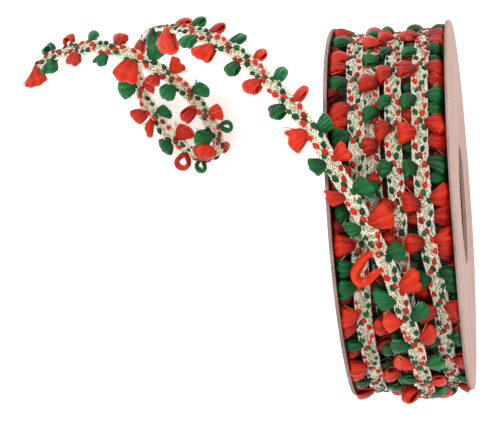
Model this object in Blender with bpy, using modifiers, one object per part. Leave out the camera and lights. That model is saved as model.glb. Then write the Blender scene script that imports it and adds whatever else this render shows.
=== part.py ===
"""Pom-pom ribbon on a cardboard reel, with its loose end curling off to one side.

Units are metres, +Z up.  The reel stands on the rims of its two round flanges,
its axis along X, and the origin is on the surface it stands on, under the
reel's middle.  Tables below are in millimetres and degrees; MM turns them
into metres.
"""

import math

import bmesh
import bpy
import numpy as np

MM = 0.001

# ---------------------------------------------------------------- dimensions
FLANGE_R = 50.0          # radius of each cardboard flange
FLANGE_T = 1.2           # its thickness
FLANGE_EDGE = 0.2        # worn corner of the cut edge
HUB_R = 16.0             # radius of the hole through both flanges and the core
FLAT_LENGTH = 9.0        # the small flat spot that each rim stands on
INNER_WIDTH = 30.0       # clear width between the flanges
CORE_T = 1.5             # wall of the core tube
GAP = 0.3                # gap between pieces that touch

AXIS_Z = math.sqrt(FLANGE_R ** 2 - (FLAT_LENGTH / 2) ** 2)   # height of the reel's axis

PITCH = 9.4              # from one pair of tufts to the next along the ribbon
BRAID_W = 4.0            # width of the plain braid
BRAID_T = 1.3            # its thickness
TUFT_REACH = 6.4         # from the braid's middle to the ends of its tufts

# ------------------------------------------------------------- wound ribbon
STATIONS = 31            # pairs of tufts in one outer turn
BASE_R = 45.2            # the turns beneath, seen between the outer ones
BRAID_R = 47.2           # top of an outer turn's braid
TUFT_R = 49.2            # top of its tufts
EDGE_R = 45.6            # where the winding meets the flanges
SLACK = 0.6              # extra radius where the last turns hang slack
TUFT_OFF = 4.3           # tuft middle from braid middle, across the ribbon

# Where the three outer turns lie across the reel, at angles about its axis
# (0 at the top, positive towards +Y).
#        angle   left  middle  right
TURNS = (
    (-180.0, -9.2, 0.6, 10.2),
    (-110.0, -9.2, 0.4, 10.8),
    (-72.0, -9.0, 0.8, 11.1),
    (-33.0, -8.9, 1.7, 10.4),
    (-5.0, -8.3, 1.5, 8.6),
    (20.0, -7.9, 1.6, 8.4),
    (52.0, -8.5, 1.9, 8.7),
    (110.0, -9.0, 1.2, 9.6),
)

# --------------------------------------------------------------- loose end
# The stretch that lies over the winding: across the reel, angle about the
# axis, radius of the braid's middle.
#         x     angle  radius
ON_REEL = (
    (6.0, -122.0, 50.8),
    (5.2, -100.0, 50.8),
    (4.2, -78.0, 50.8),
    (4.0, -58.0, 50.8),
    (3.2, -43.0, 50.8),
    (1.2, -29.4, 50.8),
    (-1.1, -18.0, 50.8),
    (-4.0, -9.2, 50.8),
    (-8.3, 1.9, 51.6),
    (-12.7, 11.5, 53.9),
)
# The free stretch, down to the surface, round its curl and over itself:
# position of the braid's middle, and how far its left edge is turned up.
#        x       y      z    edge_up
FREE = (
    (-18.6, 21.9, 102.3, 0.0),
    (-26.8, 32.0, 95.2, 0.0),
    (-36.1, 41.2, 84.0, 5.0),
    (-45.1, 47.3, 74.0, 18.0),
    (-53.2, 51.2, 64.0, 40.0),
    (-59.6, 53.0, 54.0, 62.0),
    (-66.0, 54.2, 41.5, 78.0),
    (-71.9, 53.2, 28.5, 74.0),
    (-75.8, 49.4, 19.5, 52.0),
    (-77.6, 44.6, 14.6, 30.0),
    (-77.0, 38.0, 11.2, 14.0),
    (-74.2, 31.3, 7.6, 12.0),
    (-71.0, 26.4, 6.2, 20.0),
    (-67.0, 22.3, 6.0, 42.0),
    (-62.6, 18.9, 6.7, 70.0),
    (-58.9, 18.1, 6.9, 82.0),
    (-56.4, 20.2, 7.1, 66.0),
    (-56.0, 24.2, 9.2, 34.0),
    (-57.6, 28.9, 12.4, 8.0),
    (-60.0, 34.4, 18.0, -4.0),
    (-65.0, 41.0, 27.0, 0.0),
    (-70.6, 45.3, 32.6, 2.0),
    (-76.6, 48.8, 34.0, 8.0),
    (-82.6, 50.8, 31.0, 14.0),
    (-88.4, 52.0, 25.5, 22.0),
    (-94.9, 52.4, 18.4, 32.0),
    (-101.0, 51.7, 12.6, 42.0),
    (-106.0, 50.3, 8.4, 47.0),
    (-110.5, 48.3, 6.1, 50.0),
)


# ------------------------------------------------------------------ helpers
def clear_scene():
    for obj in list(bpy.data.objects):
        bpy.data.objects.remove(obj, do_unlink=True)


def material(name, colour, roughness, metallic=0.0):
    mat = bpy.data.materials.new(name)
    mat.use_nodes = True
    shader = mat.node_tree.nodes["Principled BSDF"]
    shader.inputs["Base Color"].default_value = (*colour, 1.0)
    shader.inputs["Roughness"].default_value = roughness
    shader.inputs["Metallic"].default_value = metallic
    return mat


def add_object(name, mesh, mat, parent=None):
    obj = bpy.data.objects.new(name, mesh)
    mesh.materials.append(mat)
    collection.objects.link(obj)
    obj.parent = parent
    return obj


def turned(name, profile, steps):
    """A closed (x, radius) outline in mm, turned about the X axis."""
    bm = bmesh.new()
    verts = [bm.verts.new((x * MM, 0.0, r * MM)) for x, r in profile]
    for a, b in zip(verts, verts[1:] + verts[:1]):
        bm.edges.new((a, b))
    mesh = bpy.data.meshes.new(name + "_outline")
    bm.to_mesh(mesh)
    bm.free()
    temp = bpy.data.objects.new(name + "_outline", mesh)
    collection.objects.link(temp)
    screw = temp.modifiers.new("turn", "SCREW")
    screw.axis = "X"
    screw.steps = screw.render_steps = steps
    screw.use_merge_vertices = True
    screw.merge_threshold = 0.00001
    bpy.context.view_layer.update()
    done = bpy.data.meshes.new_from_object(
        temp.evaluated_get(bpy.context.evaluated_depsgraph_get())
    )
    done.name = name
    bpy.data.objects.remove(temp, do_unlink=True)
    face_outwards(done)
    return done


def face_outwards(mesh):
    bm = bmesh.new()
    bm.from_mesh(mesh)
    bmesh.ops.recalc_face_normals(bm, faces=bm.faces)
    if bm.calc_volume(signed=True) < 0:
        bmesh.ops.reverse_faces(bm, faces=bm.faces)
    bm.to_mesh(mesh)
    bm.free()


def smooth(mesh, degrees=35.0):
    mesh.shade_smooth()
    mesh.set_sharp_from_angle(angle=math.radians(degrees))


def through(points, step):
    """Points a step apart on a smooth curve through every row of a table.

    The first three columns are a position; the others are carried along.
    """
    p = np.asarray(points, float)
    p = np.vstack([2 * p[0] - p[1], p, 2 * p[-1] - p[-2]])
    gaps = np.linalg.norm(np.diff(p[:, :3], axis=0), axis=1)
    knots = np.concatenate([[0.0], np.cumsum(np.sqrt(gaps))])
    dense = []
    for i in range(1, len(p) - 2):
        t0, t1, t2, t3 = knots[i - 1:i + 3]
        for t in np.linspace(t1, t2, 24, endpoint=False):
            a1 = (t1 - t) / (t1 - t0) * p[i - 1] + (t - t0) / (t1 - t0) * p[i]
            a2 = (t2 - t) / (t2 - t1) * p[i] + (t - t1) / (t2 - t1) * p[i + 1]
            a3 = (t3 - t) / (t3 - t2) * p[i + 1] + (t - t2) / (t3 - t2) * p[i + 2]
            b1 = (t2 - t) / (t2 - t0) * a1 + (t - t0) / (t2 - t0) * a2
            b2 = (t3 - t) / (t3 - t1) * a2 + (t - t1) / (t3 - t1) * a3
            dense.append((t2 - t) / (t2 - t1) * b1 + (t - t1) / (t2 - t1) * b2)
    dense.append(p[-2])
    dense = np.array(dense)
    run = np.linalg.norm(np.diff(dense[:, :3], axis=0), axis=1)
    s = np.concatenate([[0.0], np.cumsum(run)])
    count = int(round(s[-1] / step))
    at = np.linspace(0.0, s[-1], count + 1)
    return at, np.column_stack([np.interp(at, s, dense[:, k]) for k in range(dense.shape[1])])


# ------------------------------------------------------------ loose end path
def route_rows():
    """Both route tables as rows of x, y, z, edge_up, share of the winding's lie."""
    rows = []
    for x, angle, r in ON_REEL:
        a = math.radians(angle)
        rows.append((x, r * math.sin(a), AXIS_Z + r * math.cos(a), 0.0, 1.0))
    for k, (x, y, z, up) in enumerate(FREE):
        rows.append((x, y, z, up, 0.6 if k == 0 else 0.0))
    return rows


def route_frames(step):
    """Distance along, position, heading, leftward edge and face of the braid."""
    s, rows = through(route_rows(), step)
    pos = rows[:, :3]
    for _ in range(3):      # takes out what little kink the tables leave
        pos[1:-1] = 0.25 * pos[:-2] + 0.5 * pos[1:-1] + 0.25 * pos[2:]
    head = np.gradient(pos, axis=0)
    head /= np.linalg.norm(head, axis=1)[:, None]
    out = pos - np.array([0.0, 0.0, AXIS_Z])
    out[:, 0] = 0.0
    out /= np.linalg.norm(out, axis=1)[:, None]
    lie = rows[:, 4:5]
    up = lie * out + (1 - lie) * np.array([0.0, 0.0, 1.0])
    up -= head * np.sum(up * head, axis=1)[:, None]
    up /= np.linalg.norm(up, axis=1)[:, None]
    left = np.cross(up, head)
    turn = np.radians(rows[:, 3:4])
    across = np.cos(turn) * left + np.sin(turn) * up
    face = np.cos(turn) * up - np.sin(turn) * left
    return s, pos, head, across, face


def comb(s):
    """1 in the middle of a pair of tufts, 0 between pairs."""
    phase = (s / PITCH) % 1.0
    near = np.abs(phase - 0.5)
    return np.clip((0.34 - near) / 0.12, 0.0, 1.0)


def room_beside(s, pos):
    """Distance from each point to the nearest other pass of the braid."""
    apart = np.linalg.norm(pos[:, None, :] - pos[None, :, :], axis=2)
    apart[np.abs(s[:, None] - s[None, :]) < 4 * PITCH] = 1e6
    return apart.min(axis=1)


def loose_end_mesh():
    step = PITCH / 8
    s, pos, head, across, face = route_frames(step)
    bend = np.gradient(head, axis=0) / step
    sideways = np.sum(bend * across, axis=1)        # bend in the braid's own plane
    reach = BRAID_W / 2 + (TUFT_REACH - BRAID_W / 2) * comb(s)
    reach = np.minimum(reach, 0.5 * (room_beside(s, pos) - 2.0))    # tufts squeezed where it crosses itself
    left = np.minimum(reach, 0.7 / np.maximum(sideways, 1e-6))
    right = np.minimum(reach, 0.7 / np.maximum(-sideways, 1e-6))
    left = np.maximum(left, BRAID_W / 2)
    right = np.maximum(right, BRAID_W / 2)
    bm = bmesh.new()
    rows = []
    for p, w, a, b in zip(pos, across, left, right):
        rows.append((bm.verts.new((p + w * a) * MM), bm.verts.new((p - w * b) * MM)))
    for (a, b), (c, d) in zip(rows, rows[1:]):
        bm.faces.new((a, b, d, c))
    mesh = bpy.data.meshes.new("loose_end")
    bm.to_mesh(mesh)
    bm.free()
    return mesh


# ------------------------------------------------------------------ winding
def turn_places(angle):
    """Where the three outer turns lie at an angle, across the reel in mm."""
    table = np.array(TURNS + ((TURNS[0][0] + 360.0,) + TURNS[0][1:],))
    angle = (angle + 180.0) % 360.0 - 180.0
    i = int(np.searchsorted(table[:, 0], angle, side="right")) - 1
    i = min(i, len(table) - 2)
    t = (angle - table[i, 0]) / (table[i + 1, 0] - table[i, 0])
    t = t * t * (3 - 2 * t)
    return table[i, 1:] * (1 - t) + table[i + 1, 1:] * t


def hump(d):
    """A rounded bump, 1 in its middle and 0 from d = 1 outwards."""
    return 1.0 - d * d if d < 1 else 0.0


def wound_radius(x, angle):
    """Outer surface of the winding: outer turns, their tufts, and the layer beneath."""
    station = angle / 360.0 * STATIONS
    along = (station - math.floor(station) - 0.5) * 2 * math.pi * TUFT_R / STATIONS
    slack = SLACK * math.exp(-(((angle + 180) % 360 - 180 + 85) / 32.0) ** 2)
    r = BASE_R + 0.5 * math.cos(x * 2.1)
    for place in turn_places(angle):
        r = max(r, BASE_R + (BRAID_R - BASE_R) * hump((x - place) / 3.0))
        for side in (-1, 1):
            d = math.hypot((x - place - side * TUFT_OFF) / 3.0, along / 4.4)
            r = max(r, BASE_R + (TUFT_R - BASE_R) * hump(d))
    end = min(1.0, (INNER_WIDTH / 2 - GAP - abs(x)) / 1.0)
    r = EDGE_R + (r - EDGE_R) * max(0.0, end)
    return r + slack


def winding_mesh():
    half = INNER_WIDTH / 2 - GAP
    across = np.linspace(-half, half, 21)
    inner = HUB_R + CORE_T + GAP
    outline = [(x, 40.0) for x in across] + [(half, inner), (-half, inner)]
    mesh = turned("winding", outline, STATIONS * 4)
    for v in mesh.vertices:
        y, z = v.co.y, v.co.z
        if math.hypot(y, z) > 30 * MM:
            angle = math.degrees(math.atan2(y, z))
            r = wound_radius(v.co.x / MM, angle) * MM
            v.co.y, v.co.z = r * math.sin(math.radians(angle)), r * math.cos(math.radians(angle))
    return mesh


# ------------------------------------------------------------------- pieces
def flange_mesh(name, inner_x, outer_x):
    """A card disc with a hole, between two planes across the reel."""
    way = 1 if outer_x > inner_x else -1
    e = FLANGE_EDGE
    outline = [
        (inner_x, HUB_R),
        (inner_x, FLANGE_R - e),
        (inner_x + way * e, FLANGE_R),
        (outer_x - way * e, FLANGE_R),
        (outer_x, FLANGE_R - e),
        (outer_x, HUB_R),
    ]
    mesh = turned(name, outline, 72)
    for v in mesh.vertices:             # the flat spot on the rim
        v.co.z = max(v.co.z, -AXIS_Z * MM)
    return mesh


def build():
    card = material("cardboard", (0.60, 0.42, 0.33), 0.85)
    inside = material("core_card", (0.42, 0.29, 0.21), 0.9)
    wound = material("wound_ribbon", (0.62, 0.30, 0.20), 0.7)
    braid = material("loose_ribbon", (0.80, 0.72, 0.52), 0.6)

    reel = bpy.data.objects.new("reel_axis", None)
    reel.location = (0.0, 0.0, AXIS_Z * MM)
    collection.objects.link(reel)

    half = INNER_WIDTH / 2
    left = add_object("flange_left", flange_mesh("flange_left", -half, -half - FLANGE_T), card, reel)
    right = add_object("flange_right", flange_mesh("flange_right", half, half + FLANGE_T), card, reel)
    core_half = half - GAP
    core_outline = [
        (-core_half, HUB_R),
        (-core_half, HUB_R + CORE_T),
        (core_half, HUB_R + CORE_T),
        (core_half, HUB_R),
    ]
    core = add_object("core_tube", turned("core_tube", core_outline, 48), inside, reel)
    winding = add_object("winding", winding_mesh(), wound, reel)
    for obj in (left, right, core, winding):
        smooth(obj.data)

    loose = add_object("loose_end", loose_end_mesh(), braid)
    shell = loose.modifiers.new("thickness", "SOLIDIFY")
    shell.thickness = BRAID_T * MM
    shell.offset = 0.0
    smooth(loose.data)


clear_scene()
collection = bpy.data.collections.new("pom_pom_ribbon")
bpy.context.scene.collection.children.link(collection)
build()
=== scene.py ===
"""Looks of the pom-pom ribbon on its card reel.

Everything is made in millimetres in the reel's frame and turned into metres
when a mesh is written: the reel's axis runs along X at AXIS_Z above the
surface, and angles about it count from the top, positive towards +Y.
"""

import math

import bpy
import numpy as np
from mathutils import Matrix


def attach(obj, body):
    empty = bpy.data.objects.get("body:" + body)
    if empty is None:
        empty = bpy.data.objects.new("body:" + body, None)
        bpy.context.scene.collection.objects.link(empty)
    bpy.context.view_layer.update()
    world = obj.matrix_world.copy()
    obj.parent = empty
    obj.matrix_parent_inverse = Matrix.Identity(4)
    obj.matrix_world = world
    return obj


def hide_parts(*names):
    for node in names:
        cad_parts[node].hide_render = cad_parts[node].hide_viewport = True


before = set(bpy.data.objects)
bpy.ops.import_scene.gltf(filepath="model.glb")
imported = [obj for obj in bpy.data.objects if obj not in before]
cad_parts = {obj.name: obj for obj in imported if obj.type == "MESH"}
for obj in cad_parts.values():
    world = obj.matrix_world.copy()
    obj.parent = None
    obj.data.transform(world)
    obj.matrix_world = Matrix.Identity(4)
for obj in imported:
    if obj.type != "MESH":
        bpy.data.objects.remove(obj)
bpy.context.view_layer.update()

MM = 0.001

# ------------------------------------------------------------------ sizes
FLANGE_R = 50.0
FLANGE_T = 1.2
HUB_R = 16.0
INNER_WIDTH = 30.0
FLAT_LENGTH = 9.0
AXIS_Z = math.sqrt(FLANGE_R ** 2 - (FLAT_LENGTH / 2) ** 2)

PITCH = 9.45             # from one pair of tufts to the next along the ribbon
BRAID_W = 4.0
STATIONS = 31            # pairs of tufts in one outer turn

# ---------------------------------------------------------- loose end's route
#         x     angle  radius
ON_REEL = (
    (6.0, -122.0, 50.8),
    (5.2, -100.0, 50.8),
    (4.2, -78.0, 50.8),
    (4.0, -58.0, 50.8),
    (3.2, -43.0, 50.8),
    (1.2, -29.4, 50.8),
    (-1.1, -18.0, 50.8),
    (-4.0, -9.2, 50.8),
    (-8.3, 1.9, 51.6),
    (-12.7, 11.5, 53.9),
)
#        x       y      z    edge_up
FREE = (
    (-18.6, 21.9, 102.3, 0.0),
    (-26.8, 32.0, 95.2, 0.0),
    (-36.1, 41.2, 84.0, 5.0),
    (-45.1, 47.3, 74.0, 18.0),
    (-53.2, 51.2, 64.0, 40.0),
    (-59.6, 53.0, 54.0, 62.0),
    (-66.0, 54.2, 41.5, 78.0),
    (-71.9, 53.2, 28.5, 74.0),
    (-75.8, 49.4, 19.5, 52.0),
    (-77.6, 44.6, 14.6, 30.0),
    (-77.0, 38.0, 11.2, 14.0),
    (-74.2, 31.3, 7.6, 12.0),
    (-71.0, 26.4, 6.2, 20.0),
    (-67.0, 22.3, 6.0, 42.0),
    (-62.6, 18.9, 6.7, 70.0),
    (-58.9, 18.1, 6.9, 82.0),
    (-56.4, 20.2, 7.1, 66.0),
    (-56.0, 24.2, 9.2, 34.0),
    (-57.6, 28.9, 12.4, 8.0),
    (-60.0, 34.4, 18.0, -4.0),
    (-65.0, 41.0, 27.0, 0.0),
    (-70.6, 45.3, 32.6, 2.0),
    (-76.6, 48.8, 34.0, 8.0),
    (-82.6, 50.8, 31.0, 14.0),
    (-88.4, 52.0, 25.5, 22.0),
    (-94.9, 52.4, 18.4, 32.0),
    (-101.0, 51.7, 12.6, 42.0),
    (-106.0, 50.3, 8.4, 47.0),
    (-110.5, 48.3, 6.1, 50.0),
)

# Tufts of the loose end: distance along it, colour, and how it sits.
# lean: towards the tip; lift: out of the braid's plane; turn: about its own
# stem, where 80 shows it side-on as a ring; size: against the usual.
RIGHT_TUFTS = (
    # s     colour lean  lift  turn  size
    (4.0, "g", 0.2, 8, 10, 1.0), (13.5, "r", 0.2, 0, 10, 1.0),
    (23.0, "g", 0.2, 5, -10, 1.0), (32.5, "r", 0.2, 0, 5, 1.0),
    (42.0, "g", 0.1, -5, 10, 1.0), (52.5, "r", 0.1, 0, -5, 1.05),
    (63.0, "g", 0.1, 0, 10, 1.05), (72.5, "r", 0.2, 4, 0, 1.15),
    (80.0, "g", 0.2, 4, -8, 1.1), (89.0, "r", 0.2, 8, 0, 1.3),
    (98.0, "g", -0.2, 8, 5, 1.1), (107.0, "r", 0.1, 12, -5, 1.3),
    (116.0, "g", -0.4, 8, 20, 1.1), (125.5, "r", 0.3, 10, 14, 1.05),
    (133.5, "g", 0.2, 0, -10, 1.0), (143.8, "r", 0.2, 0, 45, 1.05),
    (153.0, "g", 0.3, -15, 25, 1.05), (164.0, "r", 0.3, -25, 20, 1.0),
    (175.8, "g", 0.2, -32, 25, 1.15), (186.0, "r", 0.2, -22, 30, 1.15),
    (197.0, "g", 0.2, -8, 25, 1.15), (208.5, "r", 0.1, 12, 5, 1.25),
    (216.0, "g", 0.0, -80, 30, 0.8), (226.0, "r", 0.0, -80, 20, 0.8),
    (238.5, "g", 0.3, -80, 10, 0.8), (248.0, "r", 0.0, -60, 10, 0.8),
    (258.5, "g", 0.0, -5, -10, 1.3),
    (267.0, "r", -0.2, 0, 15, 1.1), (270.0, "r", 0.6, 16, 30, 0.9),
    (277.5, "g", 0.1, 0, -15, 1.15), (283.0, "r", 0.4, 45, 118, 1.4),
    (288.5, "g", -0.1, 68, 112, 1.05), (295.5, "r", -0.5, -30, 70, 1.05),
    (301.5, "g", -0.3, 28, 112, 1.05), (307.0, "r", -0.1, 20, 25, 0.95),
    (317.0, "g", -0.2, 20, 30, 0.95), (327.0, "r", -0.1, 10, 30, 1.0),
    (334.5, "g", 0.1, 0, 10, 1.1), (345.0, "r", 0.2, -18, 12, 1.1),
    (358.0, "g", 0.2, -12, -10, 1.0), (371.0, "r", 0.1, 8, 105, 1.15),
    (380.5, "g", 0.2, 20, 108, 1.15),
)
LEFT_TUFTS = (
    (8.5, "r", 0.2, 0, 10, 1.0), (18.0, "g", 0.2, 5, 10, 1.0),
    (27.5, "r", 0.2, 0, -10, 1.0), (37.0, "g", 0.2, -5, 0, 1.0),
    (45.5, "r", 0.0, 20, 60, 1.35), (54.5, "g", 0.2, 0, 20, 1.0),
    (62.5, "r", 0.2, 0, 10, 1.2), (71.0, "g", 0.2, 6, 10, 1.1),
    (79.5, "r", 0.3, 0, -10, 1.15), (86.0, "g", 0.3, 8, -10, 1.15),
    (107.0, "g", 0.2, 6, 10, 0.88), (116.0, "r", 0.25, 8, -6, 0.98),
    (125.5, "g", 0.2, -4, 0, 0.98), (134.5, "r", 0.2, 6, 6, 1.2),
    (144.5, "g", 0.2, 0, -14, 1.15), (157.0, "r", 0.4, 6, -8, 1.2),
    (168.5, "g", 0.4, 4, -8, 1.15), (181.5, "r", 0.4, 0, 25, 1.25),
    (190.5, "g", -0.2, 20, 10, 1.15), (207.0, "r", -0.1, -66, 18, 1.6),
    (219.0, "g", 0.3, -58, -15, 1.2), (236.5, "r", 0.0, -25, 10, 1.4),
    (246.5, "g", -0.2, -60, 0, 1.0), (258.0, "r", 0.1, 5, 10, 0.85),
    (268.5, "g", 0.3, 15, 10, 0.85), (279.0, "r", 0.2, -30, 5, 1.15),
    (289.5, "r", 0.1, -25, 15, 1.35),
    (301.0, "g", 0.0, 5, 10, 1.25), (311.0, "r", -0.3, 5, 20, 1.25),
    (323.5, "g", 0.0, 0, -10, 1.15), (330.5, "r", 0.1, 0, 10, 0.95),
    (339.0, "r", 0.0, 10, -10, 1.5), (348.5, "g", 0.2, 5, 10, 0.95),
    (363.5, "r", 0.0, 0, 10, 1.15),
    (377.0, "g", 0.1, -15, 30, 1.1), (385.2, "r", 0.12, -12, 25, 1.28),
)
# One tuft has been pulled out into a long open loop, which lies on the reel.
#       x     y      z
PULLED_LOOP = (
    (-5.2, -10.0, 99.9), (-6.5, -11.2, 100.4), (-8.3, -13.0, 100.1),
    (-9.6, -14.9, 99.6), (-9.7, -16.6, 99.0), (-8.7, -17.7, 98.6),
    (-6.9, -17.4, 98.7), (-5.0, -15.9, 99.2), (-3.4, -14.8, 99.0),
)

# ------------------------------------------------------------- outer turns
# Where each outer turn lies across the reel, by angle.
#        angle   left  under  middle  right
TURNS = (
    (-180.0, -9.2, -4.4, 0.6, 10.2),
    (-110.0, -9.2, -4.2, 0.4, 10.8),
    (-72.0, -9.0, -3.6, 0.8, 11.1),
    (-33.0, -8.9, -4.0, 1.7, 10.4),
    (-5.0, -8.3, -4.4, 1.5, 8.6),
    (20.0, -7.9, -4.2, 1.6, 8.4),
    (52.0, -8.5, -4.2, 1.9, 8.7),
    (110.0, -9.0, -4.3, 1.2, 9.6),
)
TURN_RADIUS = (47.1, 45.9, 46.9, 47.1)
TURN_PHASE = (-3.0, 5.0, 0.0, 2.0)      # angle of a red tuft on each

# Columns of tufts on the winding. from_turn and edge: where they are stitched;
# way: which way across the reel they point; red_at: angle of one red tuft.
#          from_turn edge  way  radius lift  red_at long shift deep
COLUMNS = (
    (3, -1, -1, 47.6, 14, 1.0, 0.95, 0.3, False),
    (2, -1, -1, 47.4, 14, 1.5, 0.80, 0.7, False),
    (1, 1, -1, 47.0, 20, -3.5, 0.95, -0.3, False),
    (3, 1, 1, 47.3, 8, 2.5, 1.0, 0.0, False),
    (3, 1, 1, 46.5, 2, -2.2, 1.0, 0.2, False),
    (2, 1, 1, 45.4, 0, 8.5, 1.0, 0.0, True),
    (0, 1, 1, 45.6, 0, 9.0, 1.0, 0.0, True),
    (0, -1, -1, 45.6, -8, -8.0, 1.0, 0.0, True),
)
# The front of the column beside the left flange is uneven: angle and colour.
LEFT_COLUMN = (
    (102.0, "r"), (91.0, "g"), (80.0, "r"), (69.0, "g"), (57.0, "r"), (44.0, "g"), (33.5, "r"),
    (23.5, "g"), (12.0, "r"), (1.0, "g"), (-10.0, "r"), (-17.0, "g"), (-23.5, "g"),
    (-33.0, "r"), (-46.0, "g"), (-57.0, "r"), (-68.0, "g"), (-78.0, "r"),
)
# How one coloured yarn runs between its tufts, from its tuft on the left edge:
#        along   left     (mm; its tufts on the right edge are at both ends)
YARN_RUN = (
    (-10.7, -1.9), (-9.7, -1.2), (-7.5, 0.0), (-4.8, 1.35), (-1.0, 1.8),
    (0.0, 1.9), (1.6, 0.65), (3.7, -0.7), (6.6, -1.7), (8.2, -1.9),
)
#        along  left  size
DOTS = ((1.6, 0.6, 1.0), (3.7, -0.65, 1.0), (6.2, -1.4, 0.85), (-2.4, 1.55, 0.8),
        (-4.9, 1.2, 1.0), (-7.4, 0.0, 1.0), (-9.6, -1.15, 0.95))

RNG = np.random.default_rng(20)


# ============================================================ mesh building
class Soup:
    """Collects closed tubes and rings of points, then writes one mesh."""

    def __init__(self):
        self.points, self.quads, self.caps = [], [], []
        self.uv, self.cap_uv, self.slots, self.cap_slots, self.tone_and_painted_light = [], [], [], [], []
        self.count = 0

    def tube(self, rings, slot=0, tone_and_painted_light=0.5, u=None, v=None):
        """rings: (m, k, 3) points; u: (k + 1) across, v: (m) along, for the fibres."""
        m, k, _ = rings.shape
        i, j = np.meshgrid(np.arange(m - 1), np.arange(k), indexing="ij")
        a = i * k + j
        b = i * k + (j + 1) % k
        quads = np.stack([a, b, b + k, a + k], axis=-1).reshape(-1, 4)
        flat = rings.reshape(-1, 3)
        centre = flat.mean(axis=0)
        p = flat[quads] - centre
        volume = np.einsum("ij,ij->i", p[:, 0], np.cross(p[:, 1], p[:, 2])).sum()
        volume += np.einsum("ij,ij->i", p[:, 0], np.cross(p[:, 2], p[:, 3])).sum()
        if u is None:
            u = np.arange(k + 1) / k
        if v is None:
            steps = np.linalg.norm(np.diff(rings.mean(axis=1), axis=0), axis=1)
            v = np.concatenate([[0.0], np.cumsum(steps)])
        ua, ub = np.broadcast_to(u[:-1], (m - 1, k)), np.broadcast_to(u[1:], (m - 1, k))
        va = np.broadcast_to(v[:-1, None], (m - 1, k))
        vb = np.broadcast_to(v[1:, None], (m - 1, k))
        uv = np.stack(
            [np.stack([ua, va], -1), np.stack([ub, va], -1), np.stack([ub, vb], -1), np.stack([ua, vb], -1)],
            axis=2,
        ).reshape(-1, 4, 2)
        first, last = np.arange(k)[::-1], np.arange(k) + (m - 1) * k
        if volume < 0:
            quads, uv = quads[:, ::-1], uv[:, ::-1]
            first, last = first[::-1], last[::-1]
        self.points.append(flat)
        self.quads.append(quads + self.count)
        self.caps += [(first + self.count).tolist(), (last + self.count).tolist()]
        self.uv.append(uv.reshape(-1, 2))
        self.cap_uv.append(np.zeros((2 * k, 2)))
        self.slots.append(np.full(len(quads), slot))
        self.cap_slots += [slot, slot]
        self.tone_and_painted_light.append(np.broadcast_to(tone_and_painted_light, (m, k)).reshape(-1) if np.ndim(tone_and_painted_light) else np.full(m * k, tone_and_painted_light))
        self.count += m * k

    def write(self, name, materials):
        points = np.concatenate(self.points) * MM
        quads = np.concatenate(self.quads)
        mesh = bpy.data.meshes.new(name)
        mesh.from_pydata(points.tolist(), [], quads.tolist() + self.caps)
        layer = mesh.uv_layers.new(name="fibre")
        uv = np.concatenate(self.uv + self.cap_uv).astype(np.float32)
        layer.data.foreach_set("uv", uv.ravel())
        mesh.polygons.foreach_set(
            "material_index", np.concatenate(self.slots + [np.array(self.cap_slots)]).astype(np.int32)
        )
        mesh.polygons.foreach_set("use_smooth", np.ones(len(mesh.polygons), dtype=bool))
        shade = mesh.attributes.new("tone_and_painted_light", "FLOAT", "POINT")
        shade.data.foreach_set("value", np.concatenate(self.tone_and_painted_light).astype(np.float32))
        for mat in materials:
            mesh.materials.append(mat)
        mesh.update()
        obj = bpy.data.objects.new(name, mesh)
        bpy.context.scene.collection.objects.link(obj)
        return obj


def unit(v):
    return v / np.maximum(np.linalg.norm(v, axis=-1, keepdims=True), 1e-9)


def thread(soup, path, ref, radius, sides, slot=0, tone_and_painted_light=0.5, flat=1.0, taper=False):
    """A round or flattened thread along a path, in mm."""
    head = unit(np.gradient(path, axis=0))
    side = unit(np.cross(head, ref))
    up = np.cross(side, head)
    ang = 2 * np.pi * (np.arange(sides) + 0.5) / sides
    r = np.broadcast_to(radius, (len(path),)).astype(float).copy()
    if taper:
        r[0] *= 0.35
        r[-1] *= 0.35
    rings = (
        path[:, None, :]
        + r[:, None, None] * (np.cos(ang)[None, :, None] * side[:, None, :]
                              + flat * np.sin(ang)[None, :, None] * up[:, None, :])
    )
    soup.tube(rings, slot, tone_and_painted_light)


# ============================================================ the route
def through(points, step):
    p = np.asarray(points, float)
    p = np.vstack([2 * p[0] - p[1], p, 2 * p[-1] - p[-2]])
    gaps = np.linalg.norm(np.diff(p[:, :3], axis=0), axis=1)
    knots = np.concatenate([[0.0], np.cumsum(np.sqrt(gaps))])
    dense = []
    for i in range(1, len(p) - 2):
        t0, t1, t2, t3 = knots[i - 1:i + 3]
        for t in np.linspace(t1, t2, 24, endpoint=False):
            a1 = (t1 - t) / (t1 - t0) * p[i - 1] + (t - t0) / (t1 - t0) * p[i]
            a2 = (t2 - t) / (t2 - t1) * p[i] + (t - t1) / (t2 - t1) * p[i + 1]
            a3 = (t3 - t) / (t3 - t2) * p[i + 1] + (t - t2) / (t3 - t2) * p[i + 2]
            b1 = (t2 - t) / (t2 - t0) * a1 + (t - t0) / (t2 - t0) * a2
            b2 = (t3 - t) / (t3 - t1) * a2 + (t - t1) / (t3 - t1) * a3
            dense.append((t2 - t) / (t2 - t1) * b1 + (t - t1) / (t2 - t1) * b2)
    dense.append(p[-2])
    dense = np.array(dense)
    run = np.linalg.norm(np.diff(dense[:, :3], axis=0), axis=1)
    s = np.concatenate([[0.0], np.cumsum(run)])
    count = int(round(s[-1] / step))
    at = np.linspace(0.0, s[-1], count + 1)
    return at, np.column_stack([np.interp(at, s, dense[:, k]) for k in range(dense.shape[1])])


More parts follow.
